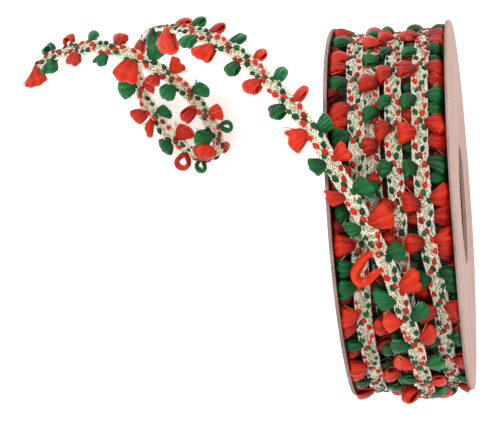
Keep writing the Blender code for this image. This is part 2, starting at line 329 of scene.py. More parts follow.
class Course:
    """A ribbon's course: position, leftward edge, face and heading at a distance."""

    def __init__(self, s, pos, across, face):
        self.s, self.pos, self.across, self.face = s, pos, across, face
        self.length = s[-1]

    def at(self, s):
        pick = lambda a: np.column_stack([np.interp(s, self.s, a[:, k]) for k in range(3)])
        pos, across, face = pick(self.pos), unit(pick(self.across)), pick(self.face)
        face = unit(face - across * np.sum(face * across, axis=1, keepdims=True))
        return pos, across, face, np.cross(across, face)

    def place(self, s, w, n):
        """Points at distances s, w to the left and n off the face."""
        pos, across, face, _ = self.at(np.asarray(s, float))
        return pos + across * np.asarray(w)[:, None] + face * np.asarray(n)[:, None], face


def loose_course(step=0.4):
    rows = []
    for x, angle, r in ON_REEL:
        a = math.radians(angle)
        rows.append((x, r * math.sin(a), AXIS_Z + r * math.cos(a), 0.0, 1.0))
    for k, (x, y, z, up) in enumerate(FREE):
        rows.append((x, y, z, up, 0.6 if k == 0 else 0.0))
    s, rows = through(rows, step)
    pos = rows[:, :3]
    for _ in range(12):
        pos[1:-1] = 0.25 * pos[:-2] + 0.5 * pos[1:-1] + 0.25 * pos[2:]
    head = unit(np.gradient(pos, axis=0))
    out = pos - np.array([0.0, 0.0, AXIS_Z])
    out[:, 0] = 0.0
    out = unit(out)
    lie = rows[:, 4:5]
    up = lie * out + (1 - lie) * np.array([0.0, 0.0, 1.0])
    up = unit(up - head * np.sum(up * head, axis=1, keepdims=True))
    left = np.cross(up, head)
    turn = np.radians(rows[:, 3:4])
    return Course(s, pos, np.cos(turn) * left + np.sin(turn) * up, np.cos(turn) * up - np.sin(turn) * left)


def turn_place(which, angle):
    table = np.array(TURNS + ((TURNS[0][0] + 360.0,) + TURNS[0][1:],))
    angle = (np.asarray(angle, float) + 180.0) % 360.0 - 180.0
    i = np.clip(np.searchsorted(table[:, 0], angle, side="right") - 1, 0, len(table) - 2)
    t = (angle - table[i, 0]) / (table[i + 1, 0] - table[i, 0])
    t = t * t * (3 - 2 * t)
    return table[i, which + 1] * (1 - t) + table[i + 1, which + 1] * t


def slack(angle):
    """How far the last turns hang off the side of the reel, in mm."""
    a = (np.asarray(angle, float) + 180.0) % 360.0 - 180.0
    return 1.3 * np.exp(-((a + 84.0) / 22.0) ** 2)


def dive(which, angle):
    """Two of the outer turns sink beneath their neighbours part of the way round."""
    first = {1: -8.0, 2: -36.0}.get(which)
    if first is None:
        return 0.0 * angle
    t = np.clip((first - angle) / 12.0, 0.0, 1.0) * np.clip((angle + 165.0) / 12.0, 0.0, 1.0)
    return 2.2 * t * t * (3 - 2 * t)


def on_winding(x, angle, r):
    a = np.radians(angle)
    return np.column_stack([np.broadcast_to(x, a.shape), r * np.sin(a), AXIS_Z + r * np.cos(a)])


def turn_course(which):
    """One outer turn, heading round from -Y over the top to +Y; its left is -X."""
    angle = np.linspace(-180.0, 180.0, 1201)
    wave = 0.25 * np.sin(np.radians(angle * 3 + which * 70)) + 0.12 * np.sin(np.radians(angle * 11 + which * 40))
    x = turn_place(which, angle) + wave
    r = TURN_RADIUS[which] + slack(angle) + 0.2 * np.sin(np.radians(angle * 7 + 50 * which))
    r = r - dive(which, angle)
    pos = on_winding(x, angle, r)
    s = (angle - TURN_PHASE[which]) / 360.0 * STATIONS * PITCH
    out = pos - np.array([0.0, 0.0, AXIS_Z])
    out[:, 0] = 0
    face = unit(out)
    head = unit(np.gradient(pos, axis=0))
    across = unit(np.cross(face, head))
    return Course(s, pos, across, face)


# ============================================================ the braid
def tri(u):
    """A zigzag of period 1: 1 at 0, -1 at a half, rounded at its turns."""
    u = np.asarray(u, float)
    z = 1.0 - 4.0 * np.abs(u - np.round(u))
    return z * (1.0 - 0.10 * z * z) / 0.9


def yarn_run(s, colour, start):
    """Where a coloured yarn lies across the braid, and how far the next dot is."""
    run = np.array(YARN_RUN)
    local = (s - start - colour * PITCH + 10.7) % (2 * PITCH) - 10.7
    w = np.interp(local, run[:, 0], run[:, 1])
    spots = np.array([d[0] for d in DOTS])
    gap = np.abs(local[:, None] - spots[None, :])
    gap = np.minimum(gap, 2 * PITCH - gap).min(axis=1)
    return w, gap


def sparkle(count, low, high, seed):
    """A tint for each step of a thread, from dull to bright."""
    noise = np.random.default_rng(seed).random(count)
    return (low + (high - low) * noise)[:, None]


def braid(soup, course, s0, s1, fine=1.0, both=True, start=0.0):
    """The cream braid: slanting threads over and under dull gold ones, two edge
    cords and the raised threads that frame the coloured yarns.
    Slots: 0 cream, 1 glitter, 2 dull gold."""
    strands, half = 12, 1.72
    sides = 5 if fine <= 1 else 3
    ds = 0.6 * fine
    s = np.linspace(s0, s1, int((s1 - s0) / ds))
    seed = int(fine * 10) + int(abs(s0))
    for k in range(strands):
        rng = np.random.default_rng(seed * 31 + k)
        u = s / PITCH + k / strands
        w = half * tri(u)
        way = np.where((u % 1.0) < 0.5, -1.0, 1.0)
        ease = np.clip((half - np.abs(w)) / (half * 0.25), 0.2, 1.0)
        n = 0.27 * way * np.cos(np.pi * strands * (w + half) / (2 * half)) * ease
        w = w + 0.12 * np.sin(s * 4.1 + k * 2.1) + rng.normal(0, 0.10, len(s))
        n = n + rng.normal(0, 0.09, len(s))
        path, face = course.place(s, w, n)
        glitter = k in (1, 4, 7, 10)
        thread(soup, path, face, 0.165 if glitter else 0.18, sides - (1 if fine <= 1 else 0),
               1 if glitter else 0, sparkle(len(s), 0.0, 1.0, seed * 37 + k))
    wide = 0.8 * fine
    s = np.linspace(s0, s1, int((s1 - s0) / wide))
    for k in range(5):
        w = (k - 2) * 0.76 + 0.08 * np.sin(s * 0.9 + k * 1.9)
        path, face = course.place(s, w, 0.05 * np.sin(s * 1.3 + k))
        thread(soup, path, face, 0.36, 4 if fine <= 1 else 3, 2, 0.5, flat=0.35)
    ds = 0.35 * fine
    s = np.linspace(s0, s1, int((s1 - s0) / ds))
    for edge in (-1, 1):
        for ply in (0, 1):
            a = 2 * np.pi * s / 1.75 + ply * np.pi + edge
            w = edge * (BRAID_W / 2 - 0.20 + 0.27 * np.cos(a)) + 0.07 * np.sin(s * 0.8) + 0.05 * np.sin(s * 3.1)
            n = 0.26 * np.sin(a)
            path, face = course.place(s, w, n)
            thread(soup, path, face, 0.17, 4 if fine <= 1 else 3, 0,
                   sparkle(len(s), 0.35, 1.0, seed * 41 + ply + 2 * edge + 3))
    ds = 0.45 * fine
    s = np.linspace(s0, s1, int((s1 - s0) / ds))
    for side in ((1, -1) if both else (1,)):
        for colour in (0, 1):
            w0, gap = yarn_run(s, colour, start)
            slope = np.gradient(w0, s)
            long = np.sqrt(1 + slope * slope)
            open_up = np.exp(-(gap / 0.8) ** 2)
            for off in (-1, 1):
                reach = off * (0.34 + 0.32 * open_up) + 0.06 * np.sin(s * 2.9 + off)
                ss = s - reach * slope / long
                w = np.clip(w0 + reach / long, -1.95, 1.95)
                n = side * (0.44 + 0.14 * np.sin(2 * np.pi * s / 1.3 + colour * 2 + off))
                path, face = course.place(ss, w, n)
                thread(soup, path, face, 0.155, 4, 0,
                       sparkle(len(s), 0.45, 1.0, seed * 43 + colour + 2 * off + 5 * side + 9))


def stitches(soup, course, s0, s1, both=True, start=0.0, flip_after=1e9, scale=1.02):
    """The coloured yarns where they come up between the braid's threads.
    Slots: 0 red, 1 green."""
    first, last = int(math.floor(s0 / PITCH)) - 2, int(math.ceil(s1 / PITCH)) + 2
    for k in range(first, last + 1):
        for along, w, big in DOTS:
            s = start + k * PITCH + along + RNG.uniform(-0.25, 0.25)
            size = scale * big * RNG.uniform(1.0, 1.24)
            colour = (k + (1 if s > flip_after else 0)) % 2
            if s < s0 + 1 or s > s1 - 1:
                continue
            slope = (-0.45 if along > 0 else 0.4) + RNG.uniform(-0.2, 0.2)
            t = np.linspace(-1, 1, 7)
            shade = RNG.uniform(0.28, 0.6)
            for side in ((1, -1) if both else (1,)):
                n = side * (0.24 + 0.34 * (1 - t * t))
                path, face = course.place(s + t * 0.78 * size, w + slope * t * 0.6, n)
                r = 0.62 * size * np.maximum(1.0 - np.abs(t) ** 2.6, 0.06) ** 0.5
                thread(soup, path, face, r, 7, colour, shade, flat=0.72)


# ============================================================ the tufts
def tuft_rings(size=1.0, ring=0.0, puff=1.0, rng=RNG, columns=12, along=16, crown=(0.2, 0.75),
               long=1.0):
    """A loop of wide, flat yarn: gathered at its stem, spread at its far side.

    Local mm: X out from the braid, Y along it, Z off its face.  ring: 0 for a
    flat shell, 1 for an open ring.  Returns rings of points, fibre coordinates
    across and along, a painted shade and highlight value for each point, and the length."""
    length = size * long * rng.uniform(3.7, 4.4)
    wide = size * rng.uniform(4.9, 5.9) * (1 - 0.58 * ring)
    neck = size * rng.uniform(1.5, 2.1) * (1 - 0.3 * ring)
    high = size * ((1 - ring) * rng.uniform(0.85, 1.25) * puff + ring * rng.uniform(1.8, 2.1))
    crown = rng.uniform(*crown) * (1 - 0.6 * ring)
    folds = rng.uniform(2.1, 3.1)
    depth = rng.uniform(0.12, 0.24) * size * (1 - 0.5 * ring)
    phase, shift = rng.uniform(0, 6.3), rng.uniform(-0.9, 0.9)
    skew = rng.uniform(-0.22, 0.22)
    corner = rng.uniform(0.12, 0.36)
    scallop = rng.uniform(0.01, 0.05)
    second, slide = rng.uniform(0.2, 0.55), rng.uniform(0, 6.3)
    dent = rng.uniform(-0.02, 0.20)
    dent_at = rng.uniform(-0.5, 0.5)

    t = np.linspace(0.03, 0.97, along)[:, None]
    q = np.sin(np.pi * t)
    across = np.linspace(-0.97, 0.97, columns)
    v = np.concatenate([across, across[::-1]])[None, :]
    top = np.concatenate([np.ones(columns), -np.ones(columns)])[None, :]
    x0 = length * (1 - np.cos(2 * np.pi * t)) / 2
    z0 = high * np.sin(2 * np.pi * t) * (0.35 + 0.65 * q)
    half = (neck + (wide - neck) * q ** rng.uniform(0.8, 1.2)) / 2
    ridge = np.cos(folds * np.pi * v + phase + shift * np.sin(2 * np.pi * t))
    ridge = (ridge + second * np.cos(4.3 * np.pi * v + slide + 2.0 * t)) / (1 + second)
    notch = dent * np.exp(-((v - dent_at) / 0.25) ** 2)
    x = x0 * (1 - corner * v * v * q - (scallop * (1 - ridge) + notch) * q)
    z = z0 * (1 - crown * v * v)
    y = half * v
    dx, dz = np.gradient(x0[:, 0]), np.gradient(z0[:, 0])
    nrm = np.hypot(dx, dz)
    nx, nz = (dz / nrm)[:, None], (-dx / nrm)[:, None]
    body = (0.42 * neck * (1 - q) + 0.24 * size * q) * (1 - v * v) ** 0.4
    off = body * top + depth * ridge * q ** 0.6
    x = x + nx * off
    z = z + nz * off
    y = y + skew * x
    points = np.stack([x, np.broadcast_to(y, x.shape), z], axis=-1)
    u = np.concatenate([v[0], v[0][:1]]) * wide / 2
    run = np.concatenate([[0.0], np.cumsum(np.hypot(np.diff(x0[:, 0]), np.diff(z0[:, 0])))])
    # painted highlight on the swell of each fold, on the outer side and at the far side; painted shade in the folds,
    # on the inner side and at the stem
    outer = np.where(top > 0, 1.0, -1.0)
    tone_and_painted_light = np.clip(0.50 + 0.10 * outer * ridge * q + 0.42 * (q - 0.72) + 0.10 * outer * q, 0.0, 0.85)
    return points, u + rng.uniform(0, 50), run + rng.uniform(0, 50), tone_and_painted_light, length


def pose_tuft(points, length, origin, out, along, off, lean=0.0, lift=0.0, turn=0.0, bow=0.0, whole=False):
    """Sets a tuft at a place on the braid: out, along and off are its axes."""
    x, y, z = points[..., 0].copy(), points[..., 1].copy(), points[..., 2].copy()
    share = np.clip(x / length, 0.0, 1.0)
    a = math.radians(turn) * share ** 0.45
    y, z = y * np.cos(a) - z * np.sin(a), y * np.sin(a) + z * np.cos(a)
    if whole:
        a = math.atan(lean)
        x, y = x * math.cos(a) - y * math.sin(a), x * math.sin(a) + y * math.cos(a)
    else:
        y = y + lean * x
    a = math.radians(lift) + bow * share
    x, z = x * np.cos(a) - z * np.sin(a), x * np.sin(a) + z * np.cos(a)
    return origin + x[..., None] * out + y[..., None] * along + z[..., None] * off


def strays(soup, points, slot, rng, count):
    """Filaments that have come away from the yarn, as thin loops beside it, drawn pale as painted highlight."""
    m, k, _ = points.shape
    mid = points.mean(axis=1)
    edge = 0 if rng.random() < 0.5 else k // 2 - 1
    for n in range(count):
        col = edge if n % 2 == 0 else int(rng.integers(0, k))
        q = np.sin(np.pi * np.linspace(0, 1, m))[:, None]
        path = mid + (points[:, col] - mid) * (0.55 + rng.uniform(0.55, 0.95) * q)
        path = path + np.array([0, 0, rng.uniform(-0.2, 0.3)]) * q
        path = path[:: 2] if m > 12 else path
        ref = np.broadcast_to(np.array([0.3, 0.2, 1.0]), path.shape)
        # full value: the pale end of the yarn's colours, painted highlight
        thread(soup, path, ref, rng.uniform(0.07, 0.11), 3, slot, 1.0)


def add_tuft(soups, colour, points, u, v, tone_and_painted_light, jitter_and_shade, squeeze=None, loose_threads=0.4):
    soup = soups[colour]
    tone_and_painted_light = np.clip(tone_and_painted_light + jitter_and_shade, 0.0, 0.95)
    if squeeze is not None:
        points = squeeze(points)
    soup.tube(points, 0, tone_and_painted_light, u, v)
    if RNG.random() < loose_threads:
        strays(soup, points, 0, RNG, int(RNG.integers(1, 4)) if loose_threads > 0.5 else 1)


def pulled_loop(soup):
    """The one tuft that has been pulled out into a long open loop."""
    _, path = through(PULLED_LOOP, 0.45)
    m, k = len(path), 12
    head = unit(np.gradient(path, axis=0))
    side = unit(np.cross(head, np.array([0.0, 0.0, 1.0])))
    up = np.cross(side, head)
    t = np.linspace(0, 1, m)
    swell = 0.55 + 0.75 * np.sin(np.pi * t) ** 0.5
    ang = 2 * np.pi * (np.arange(k) + 0.5) / k
    ridge = 1 + 0.10 * np.cos(3 * ang[None, :] + 5 * t[:, None])
    rings = (path[:, None, :]
             + (0.98 * swell[:, None] * np.cos(ang)[None, :] * ridge)[..., None] * side[:, None, :]
             + (0.72 * swell[:, None] * np.sin(ang)[None, :] * ridge)[..., None] * up[:, None, :])
    # paler on the ridges and darker between them: painted highlight and painted shade
    soup.tube(rings, 0, 0.5 + 0.12 * np.cos(3 * ang[None, :] + 5 * t[:, None]))
    # a few filaments that came away with it, drawn pale as painted highlight
    turn = np.linspace(0, 2 * np.pi, 15)[:-1]
    for x, y, z, r, tilt in ((-4.6, -9.4, 101.0, 0.95, 0.3), (-3.9, -10.3, 100.9, 0.75, 1.2),
                             (-3.0, -8.9, 101.1, 1.05, 2.1), (-5.2, -10.6, 100.7, 0.6, 0.8)):
        ring = np.stack([x + r * np.cos(turn), y + 1.25 * r * np.sin(turn), z + 0.25 * np.cos(turn + tilt)], -1)
        thread(soup, ring, np.broadcast_to(np.array([0.0, 0.0, 1.0]), ring.shape), 0.10, 4, 0, 1.0)


def above_floor(points):
    """Presses what would sink into the surface flat on it."""
    z = points[..., 2]
    low = 0.25
    soft = np.where(z < low + 1.2, low + 1.2 * np.exp((z - low - 1.2) / 1.2), z)
    out = points.copy()
    out[..., 2] = soft
    return out


def loose_tufts(course, soups):
    for side, table in ((-1, RIGHT_TUFTS), (1, LEFT_TUFTS)):
        for s, colour, lean, lift, turn, size in table:
            if s > course.length - 0.8:
                continue
            pos, across, face, head = course.at(np.array([s - 0.8]))
            ring = max(0.0, min(1.0, (abs(turn) - 45) / 30.0))
            points, u, v, tone_and_painted_light, length = tuft_rings(size, ring, 1.0, RNG, 14)
            origin = pos[0] + across[0] * side * (BRAID_W / 2 - 0.35)
            points = pose_tuft(
                points, length, origin, across[0] * side, head[0], face[0],
                lean + RNG.uniform(-0.06, 0.06), lift + RNG.uniform(-4, 4), turn * side,
                RNG.uniform(-0.25, 0.1), ring > 0.5,
            )
            add_tuft(soups, colour, points, u, v, tone_and_painted_light, RNG.uniform(-0.08, 0.12), above_floor, 0.7)
    pulled_loop(soups["r"])


def make_squeeze(loose):
    """Keeps the winding's tufts under the loose end, and inside the flanges."""
    on = loose.s < 122
    line = loose.pos[on][::3]
    line_angle = np.degrees(np.arctan2(line[:, 1], line[:, 2] - AXIS_Z))
    line_r = np.hypot(line[:, 1], line[:, 2] - AXIS_Z)
    flat_line = np.column_stack([line[:, 0], np.radians(line_angle) * 50.0])

    def squeeze(points):
        p = points.reshape(-1, 3).copy()
        y, z = p[:, 1], p[:, 2] - AXIS_Z
        r, a = np.hypot(y, z), np.arctan2(y, z)
        d = np.hypot(p[:, 0][:, None] - flat_line[None, :, 0], (a * 50.0)[:, None] - flat_line[None, :, 1])
        near = d.argmin(axis=1)
        gap = d[np.arange(len(p)), near]
        room = line_r[near] - 0.75 + np.clip(gap - 2.3, 0.0, None) * 1.1
        r = np.where(gap < 6.0, np.minimum(r, room), r)
        floor = AXIS_Z - 0.35 - np.abs(0.0)
        down = -np.cos(a) * r
        r = np.where(down > floor, floor / np.maximum(-np.cos(a), 1e-6), r)
        edge = INNER_WIDTH / 2 - 0.12 + np.where(p[:, 0] < 0, 0.9, 0.3) * np.clip((r - 50.0) / 0.4, 0.0, 1.0) * (np.cos(a) > 0.3)
        p[:, 0] = np.clip(p[:, 0], -edge, edge)
        p[:, 1], p[:, 2] = r * np.sin(a), AXIS_Z + r * np.cos(a)
        return p.reshape(points.shape)

    return squeeze


def winding_tufts(soups, squeeze):
    step = 360.0 / STATIONS
    jobs = []
    for from_turn, edge, way, radius, lift, red_at, long, shift, deep in COLUMNS:
        for k in range(STATIONS):
            angle = red_at + step * k + RNG.uniform(-0.9, 0.9)
            colour = "r" if k % 2 == 0 else "g"
            a = (angle + 180.0) % 360.0 - 180.0
            if from_turn == 0 and edge == -1 and -84 < a < 107:
                continue
            x = float(turn_place(from_turn, a)) + edge * (BRAID_W / 2 - 0.2) + shift
            jobs.append((a, x, way, radius, lift, colour, 1.0, long, deep))
    for k, (a, colour) in enumerate(LEFT_COLUMN):
        x = float(turn_place(0, a)) - BRAID_W / 2 + 0.2
        jobs.append((a, x, -1, 47.4 + 0.4 * (k % 2), 8, colour, 1.06, 1.1, False))
        if colour == "r" and abs(a) > 20:
            jobs.append((a - 4.4, x - 0.5, -1, 46.9, 4, colour, 0.95, 1.1, False))
    # the layer beneath, seen in the gaps, drawn darker as painted shade
    for k in range(STATIONS * 5):
        a = -180 + 360.0 * (k + 0.5) / (STATIONS * 5) + RNG.uniform(-1, 1)
        x = (-12.2, -1.2, 5.0, 12.5, -6.6)[k % 5] + RNG.uniform(-0.5, 0.5)
        radius = (46.4, 44.6, 44.6, 45.6, 44.6)[k % 5]
        way = (-1, 1, -1, 1, -1)[k % 5]
        jobs.append((a, x, way, radius, 5, "r" if (k // 5) % 2 else "g", 0.9, 1.0, True))
    for a, x, way, radius, lift, colour, size, long, deep in jobs:
        if not deep and -20.5 < a < -11 and -8.5 < x + 2 * way < -3.5:
            continue            # room for the tuft that is pulled out
        points, u, v, tone_and_painted_light, length = tuft_rings(
            size * RNG.uniform(0.95, 1.08) * (1.14 if colour == "r" else 0.95), 0.0, 1.5, RNG,
            7 if deep else 12, 10 if deep else 16, (0.5, 0.92), long
        )
        rad = math.radians(a)
        face = np.array([0.0, math.sin(rad), math.cos(rad)])
        head = np.array([0.0, math.cos(rad), -math.sin(rad)])
        out = np.array([float(way), 0.0, 0.0])
        origin = np.array([x, 0.0, AXIS_Z]) + face * (radius + float(slack(a)))
        points = pose_tuft(points, length, origin, out, head, face, RNG.uniform(-0.30, 0.10),
                           lift + RNG.uniform(-6, 8), RNG.uniform(-20, 20), RNG.uniform(-0.35, -0.05))
        # the winding's tufts are drawn a little darker than the loose end's and the layer beneath much darker:
        # painted shade
        add_tuft(soups, colour, points, u, v, tone_and_painted_light, RNG.uniform(-0.1, 0.1) - (0.22 if deep else 0.07), squeeze,
                 0.0 if deep else 0.35)


# ============================================================ materials
def nodes_of(name):
    mat = bpy.data.materials.new(name)
    mat.use_nodes = True
    tree = mat.node_tree
    return mat, tree, tree.nodes["Principled BSDF"]


def add(tree, kind, **values):
    node = tree.nodes.new(kind)
    for key, value in values.items():
        if key.startswith("in_"):
            node.inputs[key[3:].replace("_", " ")].default_value = value
        else:
            setattr(node, key, value)
    return node


def ramp(tree, fac, stops):
    node = add(tree, "ShaderNodeValToRGB")
    while len(node.color_ramp.elements) < len(stops):
        node.color_ramp.elements.new(0.5)
    for element, (place, colour) in zip(node.color_ramp.elements, stops):
        element.position = place
        element.color = (*colour, 1.0)
    tree.links.new(fac, node.inputs["Fac"])
    return node


def fibre_noise(tree, across, along, detail=2.0):
    """Streaks that run along the yarn, from the fibre coordinates in mm."""
    coords = add(tree, "ShaderNodeUVMap", uv_map="fibre")
    scale = add(tree, "ShaderNodeMapping")
    scale.inputs["Scale"].default_value = (across, along, 1.0)
    noise = add(tree, "ShaderNodeTexNoise", in_Scale=1.0, in_Detail=detail, in_Roughness=0.6)
    tree.links.new(coords.outputs["UV"], scale.inputs["Vector"])
    tree.links.new(scale.outputs["Vector"], noise.inputs["Vector"])
    return noise.outputs["Fac"]


def yarn(name, deep, base, light, pale, contrast, rough=0.33):
    """Satin multifilament yarn: fine streaks, with painted shade in the folds and painted highlight on their swells.
    """
    mat, tree, bsdf = nodes_of(name)
    link = tree.links.new
    pleat = fibre_noise(tree, 1.7, 0.18)
    streak = fibre_noise(tree, 7.0, 0.30)
    both = add(tree, "ShaderNodeMath", operation="MULTIPLY_ADD")
    link(streak, both.inputs[0])
    both.inputs[1].default_value = 0.45
    link(pleat, both.inputs[2])
    tone_and_painted_light = add(tree, "ShaderNodeAttribute", attribute_name="tone_and_painted_light")
    mixed = add(tree, "ShaderNodeMath", operation="MULTIPLY_ADD")
    link(both.outputs[0], mixed.inputs[0])
    mixed.inputs[1].default_value = contrast
    sub = add(tree, "ShaderNodeMath", operation="SUBTRACT")
    link(tone_and_painted_light.outputs["Fac"], sub.inputs[0])
    sub.inputs[1].default_value = 0.725 * contrast
    link(sub.outputs[0], mixed.inputs[2])
    # the ramp's deep end is painted shade and its light and pale ends are painted highlight, set by the per-point
    # value
    colours = ramp(tree, mixed.outputs[0], [(0.14, deep), (0.46, base), (0.78, light), (0.97, pale)])
    link(colours.outputs["Color"], bsdf.inputs["Base Color"])
    bump = add(tree, "ShaderNodeBump", in_Strength=0.8, in_Distance=0.00035)
    link(both.outputs[0], bump.inputs["Height"])
    link(bump.outputs["Normal"], bsdf.inputs["Normal"])
    bsdf.inputs["Roughness"].default_value = rough
    bsdf.inputs["Specular IOR Level"].default_value = 0.24
    bsdf.inputs["Subsurface Weight"].default_value = 0.12
    bsdf.inputs["Subsurface Radius"].default_value = (0.0010, 0.0003, 0.0003)
    return mat


def thread_cream():
    """Cream cotton thread with a faint twist."""
    mat, tree, bsdf = nodes_of("cream_thread")
    link = tree.links.new
    coords = add(tree, "ShaderNodeUVMap", uv_map="fibre")
    scale = add(tree, "ShaderNodeMapping")
    scale.inputs["Scale"].default_value = (1.0, 1.6, 1.0)
    wave = add(tree, "ShaderNodeTexWave", wave_type="BANDS", bands_direction="DIAGONAL",
               in_Scale=0.62, in_Distortion=1.2, in_Detail=1.5)
    link(coords.outputs["UV"], scale.inputs["Vector"])
    link(scale.outputs["Vector"], wave.inputs["Vector"])
    place = add(tree, "ShaderNodeTexCoord")
    blotch = add(tree, "ShaderNodeTexNoise", in_Scale=2400.0, in_Detail=1.5)
    link(place.outputs["Object"], blotch.inputs["Vector"])
    tone_and_painted_light = add(tree, "ShaderNodeAttribute", attribute_name="tone_and_painted_light")
    total = add(tree, "ShaderNodeMath", operation="MULTIPLY_ADD")
    link(tone_and_painted_light.outputs["Fac"], total.inputs[0])
    total.inputs[1].default_value = 0.45
    half = add(tree, "ShaderNodeMath", operation="MULTIPLY_ADD")
    link(blotch.outputs["Fac"], half.inputs[0])
    half.inputs[1].default_value = 1.75
    half.inputs[2].default_value = -0.58
    link(half.outputs[0], total.inputs[2])
    colours = ramp(tree, total.outputs[0],
                   [(0.14, (0.13, 0.10, 0.035)), (0.36, (0.78, 0.69, 0.46)), (0.56, (1.0, 0.97, 0.83))])
    link(colours.outputs["Color"], bsdf.inputs["Base Color"])
    bump = add(tree, "ShaderNodeBump", in_Strength=0.5, in_Distance=0.00008)
    link(wave.outputs["Fac"], bump.inputs["Height"])
    link(bump.outputs["Normal"], bsdf.inputs["Normal"])
    bsdf.inputs["Roughness"].default_value = 0.5
    bsdf.inputs["Sheen Weight"].default_value = 0.2
    return mat


def thread_glitter():
    """Flat pale-gold metallic thread, catching light in short glints."""
    mat, tree, bsdf = nodes_of("glitter_thread")
    link = tree.links.new
    place = add(tree, "ShaderNodeTexCoord")
    cells = add(tree, "ShaderNodeTexVoronoi", in_Scale=2600.0)
    link(place.outputs["Object"], cells.inputs["Vector"])
    colours = ramp(tree, cells.outputs["Distance"],
                   [(0.0, (1.0, 0.95, 0.74)), (0.5, (0.86, 0.77, 0.48)), (1.0, (0.34, 0.28, 0.12))])
    link(colours.outputs["Color"], bsdf.inputs["Base Color"])
    bump = add(tree, "ShaderNodeBump", in_Strength=0.8, in_Distance=0.0002)
    link(cells.outputs["Color"], bump.inputs["Height"])
    link(bump.outputs["Normal"], bsdf.inputs["Normal"])
    bsdf.inputs["Metallic"].default_value = 0.85
    bsdf.inputs["Roughness"].default_value = 0.28
    return mat


def thread_dull_gold():
    """The darker metallic threads that run lengthways under the cream ones."""
    mat, tree, bsdf = nodes_of("dull_gold_thread")
    link = tree.links.new
    place = add(tree, "ShaderNodeTexCoord")
    noise = add(tree, "ShaderNodeTexNoise", in_Scale=2700.0, in_Detail=1.0)
    link(place.outputs["Object"], noise.inputs["Vector"])
    colours = ramp(tree, noise.outputs["Fac"],
                   [(0.36, (0.04, 0.030, 0.008)), (0.45, (0.38, 0.32, 0.15)), (0.56, (0.95, 0.89, 0.68))])
    link(colours.outputs["Color"], bsdf.inputs["Base Color"])
    bump = add(tree, "ShaderNodeBump", in_Strength=0.8, in_Distance=0.00015)
    link(noise.outputs["Fac"], bump.inputs["Height"])
    link(bump.outputs["Normal"], bsdf.inputs["Normal"])
    bsdf.inputs["Metallic"].default_value = 0.5
    bsdf.inputs["Roughness"].default_value = 0.4
    return mat


def card(name, dark, base, light, fibre=900.0, bump_depth=0.00006):
    """Grey-backed card: short fibres, flecks and faint blotches."""
    mat, tree, bsdf = nodes_of(name)
    link = tree.links.new
    place = add(tree, "ShaderNodeTexCoord")
    blotch = add(tree, "ShaderNodeTexNoise", in_Scale=70.0, in_Detail=4.0, in_Roughness=0.6)
    stretch = add(tree, "ShaderNodeMapping")
    stretch.inputs["Scale"].default_value = (1.0, 2.4, 0.7)
    fibres = add(tree, "ShaderNodeTexNoise", in_Scale=fibre, in_Detail=3.0, in_Roughness=0.7)
    link(place.outputs["Object"], blotch.inputs["Vector"])
    link(place.outputs["Object"], stretch.inputs["Vector"])
    link(stretch.outputs["Vector"], fibres.inputs["Vector"])
    total = add(tree, "ShaderNodeMix", data_type="FLOAT")
    total.inputs["Factor"].default_value = 0.45
    link(fibres.outputs["Fac"], total.inputs["A"])
    link(blotch.outputs["Fac"], total.inputs["B"])
    colours = ramp(tree, total.outputs["Result"], [(0.30, dark), (0.5, base), (0.68, light)])
    link(colours.outputs["Color"], bsdf.inputs["Base Color"])
    bump = add(tree, "ShaderNodeBump", in_Strength=0.6, in_Distance=bump_depth)
    link(fibres.outputs["Fac"], bump.inputs["Height"])
    link(bump.outputs["Normal"], bsdf.inputs["Normal"])
    bsdf.inputs["Roughness"].default_value = 0.82
    bsdf.inputs["Specular IOR Level"].default_value = 0.25
    return mat


def under_turns():
    """The turns beneath: shadowed red, green and cream."""
    mat, tree, bsdf = nodes_of("turns_beneath")
    link = tree.links.new
    place = add(tree, "ShaderNodeTexCoord")
    cells = add(tree, "ShaderNodeTexVoronoi", in_Scale=260.0)
    link(place.outputs["Object"], cells.inputs["Vector"])
    split = add(tree, "ShaderNodeSeparateColor")
    link(cells.outputs["Color"], split.inputs["Color"])
    colours = ramp(tree, split.outputs["Red"],
                   [(0.0, (0.10, 0.012, 0.010)), (0.48, (0.16, 0.02, 0.015)),
                    (0.52, (0.012, 0.05, 0.025)), (0.85, (0.02, 0.07, 0.035)), (0.95, (0.22, 0.19, 0.12))])
    link(colours.outputs["Color"], bsdf.inputs["Base Color"])
    bump = add(tree, "ShaderNodeBump", in_Strength=1.0, in_Distance=0.0008)
    link(cells.outputs["Distance"], bump.inputs["Height"])
    link(bump.outputs["Normal"], bsdf.inputs["Normal"])
    bsdf.inputs["Roughness"].default_value = 0.8
    return mat


